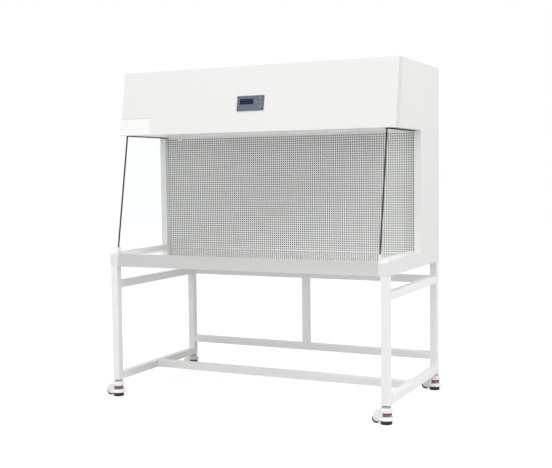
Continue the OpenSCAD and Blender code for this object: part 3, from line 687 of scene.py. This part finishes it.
# Painted shade: black strips darken the canopy's underside beside each pane's top
painted_shade_black = coated("painted_shade_black", (0.02, 0.02, 0.02), 0.7, 1500.0, 0.1, 0.3)
for name in ["glass_left", "glass_right"]:
    low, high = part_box(name)
    strips = []
    for outer in (low.x - SHADE_STRIP_WIDE / 2, high.x + SHADE_STRIP_WIDE / 2):
        bpy.ops.mesh.primitive_cube_add(size=1)
        strip = bpy.context.object
        strip.scale = (SHADE_STRIP_WIDE, SHADE_STRIP_BACK - SHADE_STRIP_FRONT, SHADE_STRIP_DEEP)
        strip.location = (outer, (SHADE_STRIP_BACK + SHADE_STRIP_FRONT) / 2, high.z - SHADE_STRIP_DEEP / 2)
        settle(strip)
        round_edges(strip, 1.2 * MILLIMETRE)
        strips.append(strip)
    finish_piece(merge(strips, name + "_painted_shade_strip"), painted_shade_black, "cabinet")

# Display
# A moulded bezel on the leaning front holds a recessed screen and four rubber keys.
# The screen shows only two rows of plain bars; four small screws hold the bezel.
bezel_grey = coated("bezel_grey", (0.115, 0.134, 0.172), 0.5, 1400.0, 0.08, 0.15)
dress("display_bezel", bezel_grey)
screen_blue = coated("screen_blue", (0.005, 0.007, 0.035), 0.3, 200.0, 0.1, 0.0)
screen_blue.node_tree.nodes["Principled BSDF"].inputs["Specular IOR Level"].default_value = 0.15
dress("display_screen", screen_blue)
key_grey = coated("key_grey", (0.22, 0.245, 0.26), 0.45, 1400.0, 0.08, 0.15)
for name in ["key_power", "key_up", "key_down", "key_lamp"]:
    dress(name, key_grey)

# Places on the leaning front count across from the display's middle and up from the front's foot
DISPLAY_X = 15.5 * MILLIMETRE
CANOPY_FOOT = 1.344
FRONT_FOOT = Vector((DISPLAY_X, FRONT_FOOT_Y, CANOPY_FOOT))
UP_FRONT = Vector((0, math.sin(LEAN), math.cos(LEAN)))
OUT_FRONT = Vector((0, -math.cos(LEAN), math.sin(LEAN)))
FRONT_TURN = Matrix((
    (1, UP_FRONT.x, OUT_FRONT.x, 0),
    (0, UP_FRONT.y, OUT_FRONT.y, 0),
    (0, UP_FRONT.z, OUT_FRONT.z, 0),
    (0, 0, 0, 1),
))


def on_front(across, up, out):
    return FRONT_FOOT + Vector((across, 0, 0)) + UP_FRONT * up + OUT_FRONT * out


def front_card(name, place, size, corner):
    # A flat card with rounded corners; place is across, up and out, size is wide, high and thick
    across, up, out = place
    thick = size[2]
    bpy.ops.mesh.primitive_cube_add(size=1)
    card = bpy.context.object
    card.name = name
    card.scale = size
    settle(card)
    bpy.ops.object.mode_set(mode="EDIT")
    bpy.ops.mesh.select_mode(type="EDGE")
    bpy.ops.mesh.select_all(action="DESELECT")
    bpy.ops.object.mode_set(mode="OBJECT")
    for edge in card.data.edges:
        first, second = edge.vertices
        rise = card.data.vertices[first].co.z - card.data.vertices[second].co.z
        edge.select = abs(rise) > thick / 2
    bpy.ops.object.mode_set(mode="EDIT")
    bpy.ops.mesh.bevel(offset=corner, segments=5, affect="EDGES")
    end_edit()
    card.matrix_world = Matrix.Translation(on_front(across, up, out + thick / 2)) @ FRONT_TURN
    settle(card)
    return card


def square_edge(material):
    # A card thinner than the rounding of the other edges keeps square ones
    material.node_tree.nodes["Bevel"].inputs["Radius"].default_value = 0.1 * MILLIMETRE


# The screen's bars: two rows of pale blocks of the liquid crystal
SCREEN_X = -21 * MILLIMETRE
SCREEN_UP = 150 * MILLIMETRE
SCREEN_OUT = 2.4 * MILLIMETRE
BAR_ROWS = ((6, [9, 7, 11, 6, 8]), (-5, [8, 12, 6, 9]))
BAR_START = -26
BAR_GAP = 3
BAR_HIGH = 4 * MILLIMETRE
BAR_THICK = 0.1 * MILLIMETRE
BAR_CORNER = 0.4 * MILLIMETRE
bars = []
for up, widths in BAR_ROWS:
    start = BAR_START
    for width in widths:
        place = (
            SCREEN_X + (start + width / 2) * MILLIMETRE,
            SCREEN_UP + up * MILLIMETRE,
            SCREEN_OUT,
        )
        size = (width * MILLIMETRE, BAR_HIGH, BAR_THICK)
        bars.append(front_card("bar", place, size, BAR_CORNER))
        start += width + BAR_GAP
bar_pale = coated("bar_pale", (0.018, 0.023, 0.075), 0.5, 900.0, 0.1, 0.0)
square_edge(bar_pale)
finish_piece(merge(bars, "screen_bars"), bar_pale, "cabinet")

# Four small black screws at the bezel's corners
BEZEL_UP = 142 * MILLIMETRE
SCREW_ACROSS = 67.5 * MILLIMETRE
SCREW_UP = 31.5 * MILLIMETRE
SCREW_OUT = 2.9 * MILLIMETRE
SCREW_R = 3.2 * MILLIMETRE
SCREW_HIGH = 1.4 * MILLIMETRE
SCREW_DISH = 0.6 * MILLIMETRE
screws = []
for side in (-1, 1):
    for level in (-1, 1):
        place = on_front(side * SCREW_ACROSS, BEZEL_UP + level * SCREW_UP, SCREW_OUT)
        screws.append(turned_cap(place, OUT_FRONT, SCREW_R, SCREW_HIGH, SCREW_DISH))
screw_black = coated("screw_black", (0.012, 0.012, 0.013), 0.4, 1500.0, 0.1, 0.1)
finish_piece(merge(screws, "bezel_screws"), screw_black, "cabinet")
dress("control_board", coated("board_green", (0.03, 0.16, 0.07), 0.4, 800.0, 0.2, 0.1))

# Bare plate
# A plain pale plate on the front cover's lower left corner.
# It is a thin enamelled card with rounded corners, over a darker card that shows above its top edge
# as a painted shadow line.
PLATE_PLACE = (-661 * MILLIMETRE, 45 * MILLIMETRE, 0)
PLATE_SIZE = (174 * MILLIMETRE, 84 * MILLIMETRE, 0.8 * MILLIMETRE)
SHADOW_LINE_PLACE = (-662 * MILLIMETRE, 45.8 * MILLIMETRE, 0)
SHADOW_LINE_SIZE = (170 * MILLIMETRE, 85 * MILLIMETRE, 0.3 * MILLIMETRE)
PLATE_CORNER = 4 * MILLIMETRE
plate_white = coated("plate_white", (0.93, 0.93, 0.925), 0.4, 900.0, 0.02, 0.05)
square_edge(plate_white)
plate = front_card("bare_plate", PLATE_PLACE, PLATE_SIZE, PLATE_CORNER)
finish_piece(plate, plate_white, "cabinet")
# Painted shadow: a darker card behind the plate shows as a dark line along its top
shadow_line_grey = coated("shadow_line_grey", (0.25, 0.25, 0.25), 0.6, 900.0, 0.1, 0.05)
square_edge(shadow_line_grey)
shadow_line_card = front_card("plate_shadow_line", SHADOW_LINE_PLACE, SHADOW_LINE_SIZE, PLATE_CORNER)
finish_piece(shadow_line_card, shadow_line_grey, "cabinet")

# Lamp and hook
# A fluorescent tube between two push-in holders, its metal ends crimped over the glass.
# Beside it a small bent hook hangs from the canopy's floor.
LAMP_GLOW = 0.1
PIN_REACH = 7 * MILLIMETRE
END_CAP = 14 * MILLIMETRE
END_CAP_WALL = 0.3 * MILLIMETRE
tube_glass = coated("tube_glass", (0.72, 0.72, 0.71), 0.15, 300.0, 0.03, 0.02)
shader = tube_glass.node_tree.nodes["Principled BSDF"]
shader.inputs["Emission Color"].default_value = (1, 1, 0.98, 1)
shader.inputs["Emission Strength"].default_value = LAMP_GLOW
dress("lamp_tube", tube_glass)
low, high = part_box("lamp_tube")
middle = centre("lamp_tube")
caps = []
for end, way in ((low.x + PIN_REACH, -1), (high.x - PIN_REACH, 1)):
    bpy.ops.mesh.primitive_cylinder_add(
        vertices=48,
        radius=(high.z - low.z) / 2 + END_CAP_WALL,
        depth=END_CAP,
        location=(end - way * END_CAP / 2, middle.y, middle.z),
        rotation=(0, math.pi / 2, 0),
    )
    cap = bpy.context.object
    round_edges(cap, 1.2 * MILLIMETRE)
    settle(cap)
    caps.append(cap)
cap_metal = polished("filter_alu", (0.75, 0.76, 0.77), 0.35, (5.0, 600.0, 600.0), 0.1)
finish_piece(merge(caps, "lamp_end_caps"), cap_metal, "cabinet")
dress("lamp_holders", coated("holder_white", (0.80, 0.80, 0.79), 0.4, 900.0, 0.05, 0.1))
dress("hook", cover_white)

# Air intake, power inlet and blowers
# A coarse fibre pad lies under the top cover's slots and a moulded inlet sits in the rear cover.
# The two blowers are galvanised scrolls and wheels, turned by motors painted dark.
dress("prefilter", coated("filter_pad", (0.30, 0.36, 0.32), 0.9, 1200.0, 0.3, 0.8))
dress("power_inlet", coated("inlet_black", (0.02, 0.02, 0.02), 0.45, 1100.0, 0.1, 0.2))
galvanised = coated("galvanised", (0.60, 0.62, 0.64), 0.34, 60.0, 0.4, 0.05, 1.0)
for name in ["blower_housing_left", "blower_housing_right", "impeller_left", "impeller_right"]:
    dress(name, galvanised)
dress("fan_motors", coated("motor_paint", (0.03, 0.03, 0.035), 0.45, 700.0, 0.1, 0.2))

# Cover screws
# Button head screws hold the rear cover to the flanges of the side panels.
# Each head is domed round a small socket in its middle, and zinc plated.
HEAD_R = 4.2 * MILLIMETRE
HEAD_HIGH = 2.2 * MILLIMETRE
SOCKET_SLOPE = 0.05 * MILLIMETRE
EDGE_IN = 14 * MILLIMETRE
END_IN = 30 * MILLIMETRE
SIDE_STEPS = 5
END_STEPS = 6


def button_screw():
    screw = rounded_disc(12, HEAD_R, HEAD_HIGH, 0, 0.6, 2)
    bpy.ops.mesh.inset(thickness=HEAD_R * 0.22)
    bpy.ops.mesh.inset(thickness=SOCKET_SLOPE, depth=-HEAD_HIGH * 0.5)
    end_edit()
    return screw


def screw_row(name, spots, way):
    pattern = button_screw()
    turn = Vector(way).to_track_quat("Z", "Y").to_matrix().to_4x4()
    row = []
    for spot in spots:
        twin = pattern.copy()
        twin.data = pattern.data.copy()
        scene.collection.objects.link(twin)
        twin.matrix_world = Matrix.Translation(Vector(spot)) @ turn
        settle(twin)
        row.append(twin)
    bpy.data.objects.remove(pattern)
    finish_piece(merge(row, name), zinc_plate, "cabinet", 30)


low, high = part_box("rear_cover")
spots = []
for x in (low.x + EDGE_IN, high.x - EDGE_IN):
    for step in range(SIDE_STEPS + 1):
        z = low.z + END_IN + step * (high.z - low.z - 2 * END_IN) / SIDE_STEPS
        spots.append((x, high.y, z))
for step in range(1, END_STEPS):
    x = low.x + EDGE_IN + step * (high.x - low.x - 2 * EDGE_IN) / END_STEPS
    for z in (low.z + END_IN, high.z - END_IN):
        spots.append((x, high.y, z))
screw_row("rear_cover_screws", spots, (0, 1, 0))
